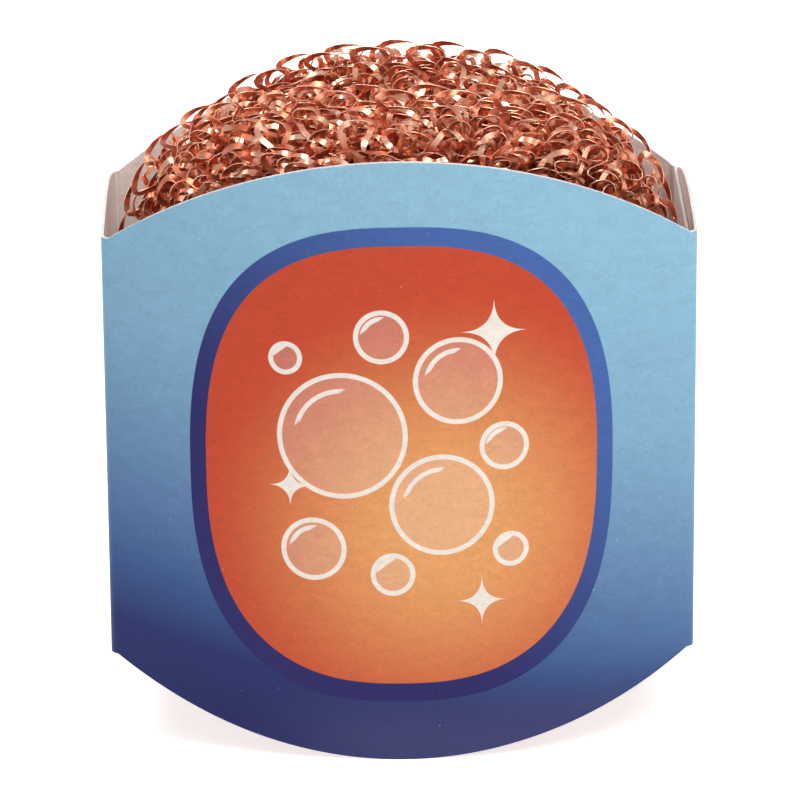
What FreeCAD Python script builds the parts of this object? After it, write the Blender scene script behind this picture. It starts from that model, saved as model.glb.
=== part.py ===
"""Pot scrubbers in a card sleeve.

Two knitted copper scrubbers stand one behind the other in a folded card sleeve that is open at both ends.
The sleeve is one card blank, creased at four corners and closed by a glued flap inside the right side.
Its front and back panels bow outwards over the scrubbers, and all its free edges are cut to shallow arcs.
Each scrubber is a rolled-up knitted tube: a packed roll inside, and the outer courses of flat ribbon loops.

Frame: millimetres, +Z up, +X to the right of the front panel, +Y from front to back.
The origin is on the surface that the sleeve stands on, under its middle.
"""

import FreeCAD
import Part
import Sketcher

import math
import os

Vector = FreeCAD.Vector
UP = Vector(0, 0, 1)
BACKWARD = Vector(0, 1, 0)

# Driving dimensions in millimetres
SIZES = {
    # card sleeve
    "sleeve_width": 90.0,
    "side_depth": 39.0,
    "panel_bulge": 11.0,
    "side_height": 66.5,
    "panel_arch": 14.0,
    "side_arch": 2.5,
    "card_thickness": 0.45,
    "fold_radius": 1.5,
    "flap_margin": 5.5,
    "flap_taper": 3.0,
    "glue_thickness": 0.15,
    "glue_width": 16.0,
    "glue_height": 46.0,
    # scrubbers
    "scrubber_height": 97.0,
    "scrubber_foot": 5.0,
    "scrubber_clearance": 0.4,
    "scrubber_gap": 0.6,
    "front_shoulder_radius": 24.0,
    "front_crown_rise": 1.5,
    "rear_shoulder_radius": 28.0,
    "rear_crown_rise": 5.7,
    "rim_depth": 8.0,
    "rim_inset": 7.0,
    # outer courses of knitted ribbon, which stand free over the rim and are pressed low at face and back
    "knit_height": 4.0,
    "pressed_height": 1.8,
    "ribbon_width": 1.1,
    "ribbon_thickness": 0.25,
    "ribbon_seat": 0.7,
    # how far a cutting tool runs past what it cuts
    "overrun": 5.0,
}

# Steps of the quarter turn by which the roll's rims round off, in its solid and under the ribbon
RIM_STEPS = 3
RIBBON_RIM_STEPS = 12
# Counts and shares of the outer knit; a loop is a flat crest, a leg, a flat foot and a leg
COURSES = 5
LOOPS = 24
LOOP_TURN_SHARES = (-0.1, 0.1, 0.25, 0.4, 0.6, 0.75)
FIRST_COURSE_SHARE = 0.23
LAST_COURSE_SHARE = 0.87
LOOP_SWING_SHARE = 0.66

doc = FreeCAD.newDocument("pot_scrubbers")
sheet = doc.addObject("Spreadsheet::Sheet", "Sizes")
for row, (alias, number) in enumerate(SIZES.items(), start=1):
    sheet.set(f"A{row}", alias)
    sheet.set(f"B{row}", str(number))
    sheet.setAlias(f"B{row}", alias)
doc.recompute()


def size(formula):
    """The value of a formula over the sheet's cells."""
    return float(sheet.evalExpression(formula))


# Formulas over the sheet that several features share

HALF_WIDTH = "Sizes.sleeve_width / 2"
HALF_DEPTH = "Sizes.side_depth / 2"
SLEEVE_HEIGHT = "(Sizes.side_height + 2 * Sizes.panel_arch)"
LOW_CORNER = "Sizes.panel_arch"
HIGH_CORNER = "(Sizes.panel_arch + Sizes.side_height)"
# The outer face of a bowed panel is a cylinder whose axis stands on the Y axis
PANEL_RADIUS = f"((({HALF_WIDTH})^2 + Sizes.panel_bulge^2) / (2 * Sizes.panel_bulge))"
PANEL_CENTRE = f"({PANEL_RADIUS} - {HALF_DEPTH} - Sizes.panel_bulge)"
# Outer radius and centre of a fold, and where the fold meets the side and the bowed panel
FOLD_OUTER = "(Sizes.fold_radius + Sizes.card_thickness)"
FOLD_X = f"({HALF_WIDTH} - {FOLD_OUTER})"
FOLD_Y = f"(sqrt(({PANEL_RADIUS} - {FOLD_OUTER})^2 - {FOLD_X}^2) - {PANEL_CENTRE})"
PANEL_END_SHARE = f"({PANEL_RADIUS} / ({PANEL_RADIUS} - {FOLD_OUTER}))"
PANEL_END_X = f"({FOLD_X} * {PANEL_END_SHARE})"
PANEL_END_Y = f"(({FOLD_Y} + {PANEL_CENTRE}) * {PANEL_END_SHARE} - {PANEL_CENTRE})"
# The flap's outer face lies inside the right side panel, a glue line away
FLAP_X = f"({HALF_WIDTH} - Sizes.card_thickness - Sizes.glue_thickness)"
FLAP_FOLD_X = f"({FLAP_X} - {FOLD_OUTER})"
FLAP_FOLD_Y = f"(sqrt(({PANEL_RADIUS} - {FOLD_OUTER})^2 - {FLAP_FOLD_X}^2) - {PANEL_CENTRE})"
FLAP_WIDTH = f"({FLAP_FOLD_Y} + {FOLD_Y} - Sizes.flap_margin)"
# The packed roll is smaller than the room beside the flap by a clearance and the outer knit
ROLL_HALF_WIDTH = f"({FLAP_X} - Sizes.card_thickness - Sizes.scrubber_clearance - Sizes.knit_height)"
ROLL_HALF_HEIGHT = "(Sizes.scrubber_height / 2 - Sizes.knit_height)"
ROLL_MIDDLE = "(Sizes.scrubber_foot + Sizes.scrubber_height / 2)"
# How far in front of the sleeve's middle plane the roll's back and face lie, and the bow of its face
ROOM_INSET = "(Sizes.card_thickness + Sizes.scrubber_clearance + Sizes.pressed_height)"
ROOM_RADIUS = f"({PANEL_RADIUS} - {ROOM_INSET})"
ROLL_BACK = "(Sizes.scrubber_gap / 2 + Sizes.pressed_height)"
ROLL_FACE = f"({ROOM_RADIUS} - {PANEL_CENTRE})"
# From above, the bow runs into each side of the roll by a round corner
CORNER_X = f"({ROLL_HALF_WIDTH} - Sizes.rim_depth)"
CORNER_Y = f"(sqrt(({ROOM_RADIUS} - Sizes.rim_depth)^2 - {CORNER_X}^2) - {PANEL_CENTRE})"


def new_body(name):
    body = doc.addObject("PartDesign::Body", name)
    body.Label = name
    return body


def new_sketch(body, name, plane, offset=None):
    """A sketch on one of its body's origin planes, moved along the plane's normal by a formula."""
    sketch = body.newObject("Sketcher::SketchObject", name)
    support = [f for f in body.Origin.OriginFeatures if f.Role == plane]
    sketch.AttachmentSupport = [(support[0], "")]
    sketch.MapMode = "FlatFace"
    if offset:
        sketch.setExpression("AttachmentOffset.Base.z", offset)
    return sketch


def add_line(sketch, start, end):
    return sketch.addGeometry(Part.LineSegment(Vector(*start, 0), Vector(*end, 0)))


def add_arc(sketch, centre, radius, start_angle, end_angle):
    circle = Part.Circle(Vector(*centre, 0), UP, radius)
    return sketch.addGeometry(Part.ArcOfCircle(circle, start_angle, end_angle))


def relate(sketch, kind, *references):
    sketch.addConstraint(Sketcher.Constraint(kind, *references))


def dimension(sketch, name, formula, kind, *references):
    """A dimension that is bound to the sheet."""
    index = sketch.addConstraint(Sketcher.Constraint(kind, *references, size(formula)))
    sketch.renameConstraint(index, name)
    sketch.setExpression(f"Constraints.{name}", formula)


# How a sketch numbers its origin, its upright axis and the points of a line or an arc
ORIGIN = (-1, 1)
UPRIGHT_AXIS = (-2,)
START, END, CENTRE = range(1, 4)


def closed_polygon(sketch, corners):
    """Lines through the corners and back to the first one, joined end to end."""
    lines = [add_line(sketch, a, b) for a, b in zip(corners, corners[1:] + corners[:1])]
    for line, following in zip(lines, lines[1:] + lines[:1]):
        relate(sketch, "Coincident", line, END, following, START)
    return lines


def rectangle(sketch, left, right, low, high):
    """A rectangle whose four sides are formulas, as distances from the origin along each axis."""
    x0, x1, y0, y1 = (size(f) for f in (left, right, low, high))
    bottom, right_side, top, left_side = closed_polygon(
        sketch, [(x0, y0), (x1, y0), (x1, y1), (x0, y1)]
    )
    for line in (bottom, top):
        relate(sketch, "Horizontal", line)
    for line in (right_side, left_side):
        relate(sketch, "Vertical", line)
    dimension(sketch, "left", left, "DistanceX", *ORIGIN, bottom, START)
    dimension(sketch, "right", right, "DistanceX", *ORIGIN, top, START)
    dimension(sketch, "low", low, "DistanceY", *ORIGIN, bottom, START)
    dimension(sketch, "high", high, "DistanceY", *ORIGIN, top, START)


def pocket_through(body, sketch, name):
    """Cuts a sketch right through its body, both ways."""
    pocket = body.newObject("PartDesign::Pocket", name)
    pocket.Profile = sketch
    pocket.Type = "ThroughAll"
    pocket.Midplane = True
    return pocket


# Card sleeve


def sleeve_path(body):
    """The outer face of the folded blank, seen from above: right side, front, left side, back and flap."""
    sketch = new_sketch(body, "folded_blank", "XY_Plane")
    half_width, fold_x, fold_y = size(HALF_WIDTH), size(FOLD_X), size(FOLD_Y)
    panel_radius, panel_centre, fold = size(PANEL_RADIUS), size(PANEL_CENTRE), size(FOLD_OUTER)
    flap_x, flap_fold_x, flap_fold_y = size(FLAP_X), size(FLAP_FOLD_X), size(FLAP_FOLD_Y)
    slope = math.atan2(fold_y + panel_centre, fold_x)
    flap_slope = math.atan2(flap_fold_y + panel_centre, flap_fold_x)
    half_turn = math.pi
    right = add_line(sketch, (half_width, fold_y), (half_width, -fold_y))
    fold_front_right = add_arc(sketch, (fold_x, -fold_y), fold, -slope, 0)
    front = add_arc(sketch, (0, panel_centre), panel_radius, half_turn + slope, 2 * half_turn - slope)
    fold_front_left = add_arc(sketch, (-fold_x, -fold_y), fold, half_turn, half_turn + slope)
    left = add_line(sketch, (-half_width, -fold_y), (-half_width, fold_y))
    fold_back_left = add_arc(sketch, (-fold_x, fold_y), fold, half_turn - slope, half_turn)
    back = add_arc(sketch, (0, -panel_centre), panel_radius, flap_slope, half_turn - slope)
    fold_flap = add_arc(sketch, (flap_fold_x, flap_fold_y), fold, 0, flap_slope)
    flap_end = flap_fold_y - size(FLAP_WIDTH)
    flap = add_line(sketch, (flap_x, flap_fold_y), (flap_x, flap_end))
    for joint in (
        (right, END, fold_front_right, END),
        (fold_front_right, START, front, END),
        (front, START, fold_front_left, END),
        (fold_front_left, START, left, START),
        (left, END, fold_back_left, END),
        (fold_back_left, START, back, END),
        (back, START, fold_flap, END),
        (fold_flap, START, flap, START),
    ):
        relate(sketch, "Tangent", *joint)
    for line in (right, left, flap):
        relate(sketch, "Vertical", line)
    dimension(sketch, "fold", FOLD_OUTER, "Radius", fold_front_right)
    for other in (fold_front_left, fold_back_left, fold_flap):
        relate(sketch, "Equal", fold_front_right, other)
    dimension(sketch, "panel_radius", PANEL_RADIUS, "Radius", front)
    relate(sketch, "Equal", front, back)
    for panel in (front, back):
        relate(sketch, "PointOnObject", panel, CENTRE, *UPRIGHT_AXIS)
    dimension(sketch, "front_centre", PANEL_CENTRE, "DistanceY", *ORIGIN, front, CENTRE)
    dimension(sketch, "back_centre", PANEL_CENTRE, "DistanceY", back, CENTRE, *ORIGIN)
    dimension(sketch, "right_side", HALF_WIDTH, "DistanceX", *ORIGIN, right, START)
    dimension(sketch, "left_side", HALF_WIDTH, "DistanceX", left, START, *ORIGIN)
    dimension(sketch, "flap_face", FLAP_X, "DistanceX", *ORIGIN, flap, START)
    dimension(sketch, "flap_width", FLAP_WIDTH, "DistanceY", flap, END, flap, START)
    relate(sketch, "Horizontal", right, START, left, END)
    return sketch


def arc_over(sketch, name, half_span, rise, level, far, sign, half_reach=None):
    """A closed outline of what is cut away beyond an arched edge.

    The arc rises from the level of its two ends, upwards for sign 1 and downwards for sign -1.
    A half reach makes the outline wider than the arc, with a flat ledge at each end of it.
    """
    radius_formula = f"((({half_span})^2 + ({rise})^2) / (2 * ({rise})))"
    span, radius, height = size(half_span), size(radius_formula), size(level)
    slope = math.asin(span / radius)
    middle = math.copysign(math.pi / 2, sign)
    centre = height + sign * (size(rise) - radius)
    arc = add_arc(sketch, (0, centre), radius, middle - slope, middle + slope)
    # An arc runs anticlockwise, so it starts on the right at the top and on the left at the foot
    side = sign * span
    reach = sign * size(half_reach or half_span)
    corners = [(side, height), (reach, height), (reach, size(far)), (-reach, size(far))]
    corners += [(-reach, height), (-side, height)]
    if not half_reach:
        corners = [corners[0], corners[2], corners[3], corners[5]]
    lines = [add_line(sketch, a, b) for a, b in zip(corners, corners[1:])]
    relate(sketch, "Coincident", arc, START, lines[0], START)
    for line, following in zip(lines, lines[1:]):
        relate(sketch, "Coincident", line, END, following, START)
    relate(sketch, "Coincident", lines[-1], END, arc, END)
    far_index = len(lines) // 2
    far_line = lines[far_index]
    relate(sketch, "Horizontal", far_line)
    relate(sketch, "Vertical", lines[far_index - 1])
    relate(sketch, "Vertical", lines[far_index + 1])
    right_of_far, left_of_far = (START, END) if sign > 0 else (END, START)
    right_of_arc = START if sign > 0 else END
    if half_reach:
        relate(sketch, "Horizontal", lines[0])
        relate(sketch, "Horizontal", lines[-1])
        dimension(sketch, f"{name}_right", half_reach, "DistanceX", *ORIGIN, far_line, right_of_far)
        dimension(sketch, f"{name}_left", half_reach, "DistanceX", far_line, left_of_far, *ORIGIN)
    relate(sketch, "PointOnObject", arc, CENTRE, *UPRIGHT_AXIS)
    dimension(sketch, f"{name}_radius", radius_formula, "Radius", arc)
    dimension(sketch, f"{name}_span", half_span, "DistanceX", *ORIGIN, arc, right_of_arc)
    dimension(sketch, f"{name}_level", level, "DistanceY", *ORIGIN, arc, right_of_arc)
    if sign > 0:
        dimension(sketch, f"{name}_far", far, "DistanceY", *ORIGIN, far_line, START)
    else:
        dimension(sketch, f"{name}_far", f"-({far})", "DistanceY", far_line, START, *ORIGIN)


ABOVE_ALL = f"({SLEEVE_HEIGHT} + Sizes.overrun)"
BELOW_ALL = "(-Sizes.overrun)"


def flap_corner(sketch, name, level, far, sign):
    """What is cut away beyond the flap's end edge, which slopes back a little towards its free edge."""
    free_y = f"({FLAP_FOLD_Y} - {FLAP_WIDTH} - Sizes.overrun)"
    drop = f"(Sizes.flap_taper * (1 + Sizes.overrun / {FLAP_WIDTH}))"
    free_level = f"(({level}) - ({sign}) * {drop})"
    near, free = size(FLAP_FOLD_Y), size(free_y)
    corners = [(near, size(level)), (near, size(far)), (free, size(far)), (free, size(free_level))]
    near_line, far_line, free_line, _edge = closed_polygon(sketch, corners)
    relate(sketch, "Vertical", near_line)
    relate(sketch, "Horizontal", far_line)
    relate(sketch, "Vertical", free_line)
    dimension(sketch, f"{name}_near", FLAP_FOLD_Y, "DistanceX", *ORIGIN, near_line, START)
    dimension(sketch, f"{name}_free", f"-{free_y}", "DistanceX", free_line, START, *ORIGIN)
    dimension(sketch, f"{name}_level", level, "DistanceY", *ORIGIN, near_line, START)
    dimension(sketch, f"{name}_free_level", free_level, "DistanceY", *ORIGIN, free_line, END)
    if sign > 0:
        dimension(sketch, f"{name}_far", far, "DistanceY", *ORIGIN, far_line, START)
    else:
        dimension(sketch, f"{name}_far", f"-({far})", "DistanceY", far_line, START, *ORIGIN)


def card_sleeve():
    """One card blank, bent round four corners, with its flap lying inside the right side panel."""
    body = new_body("card_sleeve")
    path = sleeve_path(body)
    section = new_sketch(body, "card_section", "XZ_Plane", f"-({FOLD_Y})")
    rectangle(section, f"{HALF_WIDTH} - Sizes.card_thickness", HALF_WIDTH, "0", SLEEVE_HEIGHT)
    doc.recompute()
    wrap = body.newObject("PartDesign::AdditivePipe", "wrapped_card")
    wrap.Profile = section
    wrap.Spine = (path, [f"Edge{number}" for number in range(1, path.GeometryCount + 1)])
    doc.recompute()
    panel_edges = new_sketch(body, "panel_edges", "XZ_Plane")
    arc_over(panel_edges, "top", PANEL_END_X, "Sizes.panel_arch", HIGH_CORNER, ABOVE_ALL, 1)
    arc_over(panel_edges, "foot", PANEL_END_X, "Sizes.panel_arch", LOW_CORNER, BELOW_ALL, -1)
    pocket_through(body, panel_edges, "arched_panels")
    side_edges = new_sketch(body, "side_edges", "YZ_Plane")
    arc_over(side_edges, "top", FOLD_Y, "Sizes.side_arch", HIGH_CORNER, ABOVE_ALL, 1, PANEL_END_Y)
    arc_over(side_edges, "foot", FOLD_Y, "Sizes.side_arch", LOW_CORNER, BELOW_ALL, -1, PANEL_END_Y)
    pocket_through(body, side_edges, "arched_sides")
    # The flap's own cut starts in the glue line, so that it leaves the side panel whole
    glue_middle = f"({FLAP_X} + Sizes.glue_thickness / 2)"
    flap_edges = new_sketch(body, "flap_edges", "YZ_Plane", glue_middle)
    flap_corner(flap_edges, "top", HIGH_CORNER, ABOVE_ALL, 1)
    flap_corner(flap_edges, "foot", LOW_CORNER, BELOW_ALL, -1)
    flap_cut = body.newObject("PartDesign::Pocket", "tapered_flap")
    flap_cut.Profile = flap_edges
    flap_cut.setExpression("Length", "Sizes.card_thickness + Sizes.glue_thickness")
    doc.recompute()
    return body


def flap_glue():
    """The glue line between the flap and the right side panel."""
    glue = doc.addObject("Part::Box", "flap_glue")
    glue.setExpression("Length", "Sizes.glue_thickness")
    glue.setExpression("Width", "Sizes.glue_width")
    glue.setExpression("Height", "Sizes.glue_height")
    glue.setExpression("Placement.Base.x", FLAP_X)
    glue.setExpression(
        "Placement.Base.y", f"{FLAP_FOLD_Y} - ({FLAP_WIDTH} + Sizes.glue_width) / 2"
    )
    glue.setExpression(
        "Placement.Base.z", f"{LOW_CORNER} + (Sizes.side_height - Sizes.glue_height) / 2"
    )
    return glue


# Scrubbers. Each is built as the front one; the rear one is turned round to face backwards.


class RollForm:
    """The formulas of one roll: how it faces, and its outline from the front.

    A crown arc runs over two shoulder arcs, and stands a rise higher than their circles.
    """

    def __init__(self, scrubber, facing):
        self.name = scrubber
        self.placement = FreeCAD.Placement(Vector(), facing)
        rise = f"Sizes.{scrubber}_crown_rise"
        self.shoulder = f"(Sizes.{scrubber}_shoulder_radius - Sizes.knit_height)"
        self.shoulder_x = f"({ROLL_HALF_WIDTH} - {self.shoulder})"
        self.shoulder_z = f"({ROLL_HALF_HEIGHT} - {self.shoulder} - {rise})"
        self.crown = f"({self.shoulder} + ({self.shoulder_x}^2 + {rise}^2) / (2 * {rise}))"
        self.crown_z = f"({ROLL_HALF_HEIGHT} - {self.crown})"


def rim_angles(steps):
    """Even steps of a quarter turn, from the middle of a rim to its end."""
    return [math.pi / 2 * step / steps for step in range(steps + 1)]


def roll_sections(steps):
    """Depth and inset of each section of the roll, as formulas, from its face to its back."""
    sections = []
    for angle in reversed(rim_angles(steps)):
        depth = f"({ROLL_FACE} - {1 - math.sin(angle)} * Sizes.rim_depth)"
        sections.append((depth, f"({1 - math.cos(angle)} * Sizes.rim_inset)"))
    for angle in rim_angles(steps):
        depth = f"({ROLL_BACK} + {1 - math.sin(angle)} * Sizes.rim_depth)"
        sections.append((depth, f"({1 - math.cos(angle)} * Sizes.rim_inset)"))
    return sections


def roll_outline(body, form, name, depth, inset):
    """The roll's outline from the front, drawn in by an inset: two crowns, four shoulders, two sides."""
    sketch = new_sketch(body, name, "XZ_Plane", depth)
    drawn_in = size(inset)
    half_width, middle = size(ROLL_HALF_WIDTH) - drawn_in, size(ROLL_MIDDLE)
    crown, shoulder = size(form.crown) - drawn_in, size(form.shoulder) - drawn_in
    crown_z, shoulder_x, shoulder_z = (size(f) for f in (form.crown_z, form.shoulder_x, form.shoulder_z))
    slope = math.atan2(shoulder_z - crown_z, shoulder_x)
    half = math.pi
    low, high = middle - shoulder_z, middle + shoulder_z
    top = add_arc(sketch, (0, middle + crown_z), crown, slope, half - slope)
    top_left = add_arc(sketch, (-shoulder_x, high), shoulder, half - slope, half)
    left = add_line(sketch, (-half_width, high), (-half_width, low))
    low_left = add_arc(sketch, (-shoulder_x, low), shoulder, half, half + slope)
    foot = add_arc(sketch, (0, middle - crown_z), crown, half + slope, 2 * half - slope)
    low_right = add_arc(sketch, (shoulder_x, low), shoulder, 2 * half - slope, 2 * half)
    right = add_line(sketch, (half_width, low), (half_width, high))
    top_right = add_arc(sketch, (shoulder_x, high), shoulder, 0, slope)
    loop = [top, top_left, left, low_left, foot, low_right, right, top_right]
    for piece, following in zip(loop, loop[1:] + loop[:1]):
        relate(sketch, "Tangent", piece, END, following, START)
    relate(sketch, "Vertical", left)
    relate(sketch, "Vertical", right)
    dimension(sketch, "crown", f"{form.crown} - {inset}", "Radius", top)
    relate(sketch, "Equal", top, foot)
    dimension(sketch, "shoulder", f"{form.shoulder} - {inset}", "Radius", top_left)
    for other in (low_left, low_right, top_right):
        relate(sketch, "Equal", top_left, other)
    relate(sketch, "PointOnObject", top, CENTRE, *UPRIGHT_AXIS)
    relate(sketch, "PointOnObject", foot, CENTRE, *UPRIGHT_AXIS)
    crown_level, foot_level = f"{ROLL_MIDDLE} + {form.crown_z}", f"{ROLL_MIDDLE} - {form.crown_z}"
    dimension(sketch, "crown_centre", crown_level, "DistanceY", *ORIGIN, top, CENTRE)
    dimension(sketch, "foot_centre", foot_level, "DistanceY", *ORIGIN, foot, CENTRE)
    dimension(sketch, "right_side", f"{ROLL_HALF_WIDTH} - {inset}", "DistanceX", *ORIGIN, right, START)
    dimension(sketch, "left_side", f"{ROLL_HALF_WIDTH} - {inset}", "DistanceX", left, START, *ORIGIN)
    return sketch


def bow_cut(body):
    """What lies in front of the room behind the bowed panel, seen from above."""
    sketch = new_sketch(body, "bow_cut", "XY_Plane")
    half_width, radius, centre = size(ROLL_HALF_WIDTH), size(ROOM_RADIUS), size(PANEL_CENTRE)
    corner, corner_x, corner_y = size("Sizes.rim_depth"), size(CORNER_X), -size(CORNER_Y)
    far = f"({ROLL_FACE} + Sizes.overrun)"
    far_y = -size(far)
    slope = math.atan2(centre - corner_y, corner_x)
    half = math.pi
    bow = add_arc(sketch, (0, centre), radius, half + slope, 2 * half - slope)
    right_corner = add_arc(sketch, (corner_x, corner_y), corner, 2 * half - slope, 2 * half)
    right = add_line(sketch, (half_width, corner_y), (half_width, far_y))
    front = add_line(sketch, (half_width, far_y), (-half_width, far_y))
    left = add_line(sketch, (-half_width, far_y), (-half_width, corner_y))
    left_corner = add_arc(sketch, (-corner_x, corner_y), corner, half, half + slope)
    relate(sketch, "Tangent", bow, END, right_corner, START)
    relate(sketch, "Coincident", right_corner, END, right, START)
    relate(sketch, "Coincident", right, END, front, START)
    relate(sketch, "Coincident", front, END, left, START)
    relate(sketch, "Coincident", left, END, left_corner, START)
    relate(sketch, "Tangent", left_corner, END, bow, START)
    relate(sketch, "Vertical", right)
    relate(sketch, "Horizontal", front)
    relate(sketch, "Vertical", left)
    relate(sketch, "PointOnObject", bow, CENTRE, *UPRIGHT_AXIS)
    dimension(sketch, "bow_radius", ROOM_RADIUS, "Radius", bow)
    dimension(sketch, "bow_centre", PANEL_CENTRE, "DistanceY", *ORIGIN, bow, CENTRE)
    dimension(sketch, "corner_radius", "Sizes.rim_depth", "Radius", right_corner)
    relate(sketch, "Equal", right_corner, left_corner)
    relate(sketch, "Horizontal", right_corner, CENTRE, right_corner, END)
    relate(sketch, "Horizontal", left_corner, CENTRE, left_corner, START)
    dimension(sketch, "right_side", ROLL_HALF_WIDTH, "DistanceX", *ORIGIN, right, START)
    dimension(sketch, "left_side", ROLL_HALF_WIDTH, "DistanceX", left, END, *ORIGIN)
    dimension(sketch, "far", far, "DistanceY", front, START, *ORIGIN)
    return sketch


def scrubber_roll(form):
    """The packed inner turns of a scrubber: one soft solid with rounded rims, bowed like the panel."""
    body = new_body(f"{form.name}_scrubber_roll")
    outlines = [
        roll_outline(body, form, f"roll_outline_{number}", depth, inset)
        for number, (depth, inset) in enumerate(roll_sections(RIM_STEPS), start=1)
    ]
    doc.recompute()
    roll = body.newObject("PartDesign::AdditiveLoft", "roll")
    roll.Profile = outlines[0]
    roll.Sections = outlines[1:]
    roll.Ruled = True
    doc.recompute()
    pocket_through(body, bow_cut(body), "bowed_face")
    body.Placement = form.placement
    return body


class RollRim:
    """The rim of a roll, for laying ribbon on: places along it, across it and above it."""

    def __init__(self, form):
        self.half_width = size(ROLL_HALF_WIDTH)
        self.crown, self.shoulder = size(form.crown), size(form.shoulder)
        self.crown_z, self.middle = size(form.crown_z), size(ROLL_MIDDLE)
        self.shoulder_x, self.shoulder_z = size(form.shoulder_x), size(form.shoulder_z)
        self.slope = math.atan2(self.shoulder_z - self.crown_z, self.shoulder_x)
        self.crown_run = self.crown * (math.pi / 2 - self.slope)
        self.shoulder_run = self.shoulder * self.slope
        self.quarter = self.crown_run + self.shoulder_run + self.shoulder_z
        self.girth = 4 * self.quarter
        self.bow_radius, self.bow_centre = size(ROOM_RADIUS), size(PANEL_CENTRE)
        self.corner_radius = size("Sizes.rim_depth")
        self.corner_x, self.corner_y = size(CORNER_X), -size(CORNER_Y)
        self.bow_end_x = self.corner_x * self.bow_radius / (self.bow_radius - self.corner_radius)
        sections = roll_sections(RIBBON_RIM_STEPS)
        self.sections = [(size(inset), -size(depth)) for depth, inset in sections]

    def outline(self, along):
        """A point on the full outline from the front and its outward normal, clockwise from the crest."""
        along = along % self.girth
        side_x = 1 if along <= 2 * self.quarter else -1
        if side_x < 0:
            along = self.girth - along
        side_z = 1 if along <= self.quarter else -1
        if side_z < 0:
            along = 2 * self.quarter - along
        if along <= self.crown_run:
            angle = math.pi / 2 - along / self.crown
            x, z = self.crown * math.cos(angle), self.crown_z + self.crown * math.sin(angle)
        elif along <= self.crown_run + self.shoulder_run:
            angle = self.slope - (along - self.crown_run) / self.shoulder
            x = self.shoulder_x + self.shoulder * math.cos(angle)
            z = self.shoulder_z + self.shoulder * math.sin(angle)
        else:
            angle = 0
            x, z = self.half_width, self.quarter - along
        normal = Vector(side_x * math.cos(angle), 0, side_z * math.sin(angle))
        return Vector(side_x * x, 0, self.middle + side_z * z), normal

    def bow(self, x):
        """How far forward the bowed face and its round corners reach, from above."""
        if abs(x) < self.bow_end_x:
            return self.bow_centre - math.sqrt(self.bow_radius**2 - x**2)
        aside = min(abs(x) - self.corner_x, self.corner_radius)
        return self.corner_y - math.sqrt(self.corner_radius**2 - aside**2)

    def profile(self, base, outwards):
        """The rim's profile at a point of the outline, as (outwards, backwards) places, face to back."""
        places = []
        for inset, y in self.sections:
            places.append(Vector(-inset, max(y, self.bow(base.x - outwards.x * inset)), 0))
        return places

    def point(self, along, share, lift):
        """A point over the rim and the normal there; the share runs from the face to the back."""
        base, outwards = self.outline(along)
        places = self.profile(base, outwards)
        runs = [(b - a).Length for a, b in zip(places, places[1:])]
        left = share * sum(runs)
        number = 0
        while number < len(runs) - 1 and left > runs[number]:
            left -= runs[number]
            number += 1
        part = left / runs[number]
        place = places[number] * (1 - part) + places[number + 1] * part
        run = places[min(number + 3, len(runs))] - places[max(number - 2, 0)]
        tilt = Vector(run.y, -run.x, 0).normalize()
        normal = outwards * tilt.x + BACKWARD * tilt.y
        return base + outwards * place.x + BACKWARD * place.y + normal * lift, normal


def course_line(rim, number):
    """Points and normals along one course of loops; each loop's crest lies over the next course's feet."""
    pitch = (LAST_COURSE_SHARE - FIRST_COURSE_SHARE) / (COURSES - 1)
    crest_wave = math.cos(2 * math.pi * LOOP_TURN_SHARES[0])
    half_thickness = size("Sizes.ribbon_thickness / 2")
    free, pressed = size("Sizes.knit_height"), size("Sizes.pressed_height")
    low = size("Sizes.ribbon_seat") + half_thickness
    points = []
    for loop in range(LOOPS):
        for turn_share in LOOP_TURN_SHARES:
            wave = math.cos(2 * math.pi * turn_share)
            share = FIRST_COURSE_SHARE + pitch * (number + LOOP_SWING_SHARE * wave)
            high = pressed + (free - pressed) * math.sin(math.pi * share) ** 2 - half_thickness
            lift = (low + high) / 2 + wave / crest_wave * (high - low) / 2
            along = rim.girth * (loop + turn_share + number / 2) / LOOPS
            points.append(rim.point(along, share, lift))
    return points


def ribbon(points):
    """A flat ribbon laid along closed points, as one solid ring of flat facets."""
    half_width, half_thickness = size("Sizes.ribbon_width / 2"), size("Sizes.ribbon_thickness / 2")
    corners = []
    for index, (point, normal) in enumerate(points):
        before, after = points[index - 1][0], points[(index + 1) % len(points)][0]
        along = (after - before).normalize()
        across = normal.cross(along).normalize() * half_width
        through = along.cross(across).normalize() * half_thickness
        corners += [point + across + through, point - across + through]
        corners += [point - across - through, point + across - through]
    facets = []
    for first in range(0, len(corners), 4):
        following = (first + 4) % len(corners)
        for side in range(4):
            beside = (side + 1) % 4
            facets.append((first + side, following + side, following + beside))
            facets.append((first + side, following + beside, first + beside))
    shell = Part.Shape()
    shell.makeShapeFromMesh((corners, facets), half_thickness / len(corners))
    solid = Part.makeSolid(shell)
    if solid.Volume < 0:
        solid.reverse()
    return solid


def scrubber_knit(form):
    """The outer courses of a scrubber: closed rings of ribbon loops round its rim."""
    rim = RollRim(form)
    lines = [course_line(rim, number) for number in range(COURSES)]
    knit = doc.addObject("Part::Feature", f"{form.name}_scrubber_knit")
    knit.Shape = Part.makeCompound([ribbon(line) for line in lines])
    knit.Placement = form.placement
    return knit


def check_made(item):
    """Stops if an object of the document could not be made."""
    if "Invalid" in item.State or "Error" in item.State:
        raise RuntimeError(f"{item.Name} could not be made: {item.getStatusString()}")


def check_solid(node):
    """Stops if a node is not made of sound solids."""
    shape = node.Shape
    if shape.isNull() or not shape.isValid() or not shape.Solids:
        raise RuntimeError(f"{node.Name} has no sound solid")


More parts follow.
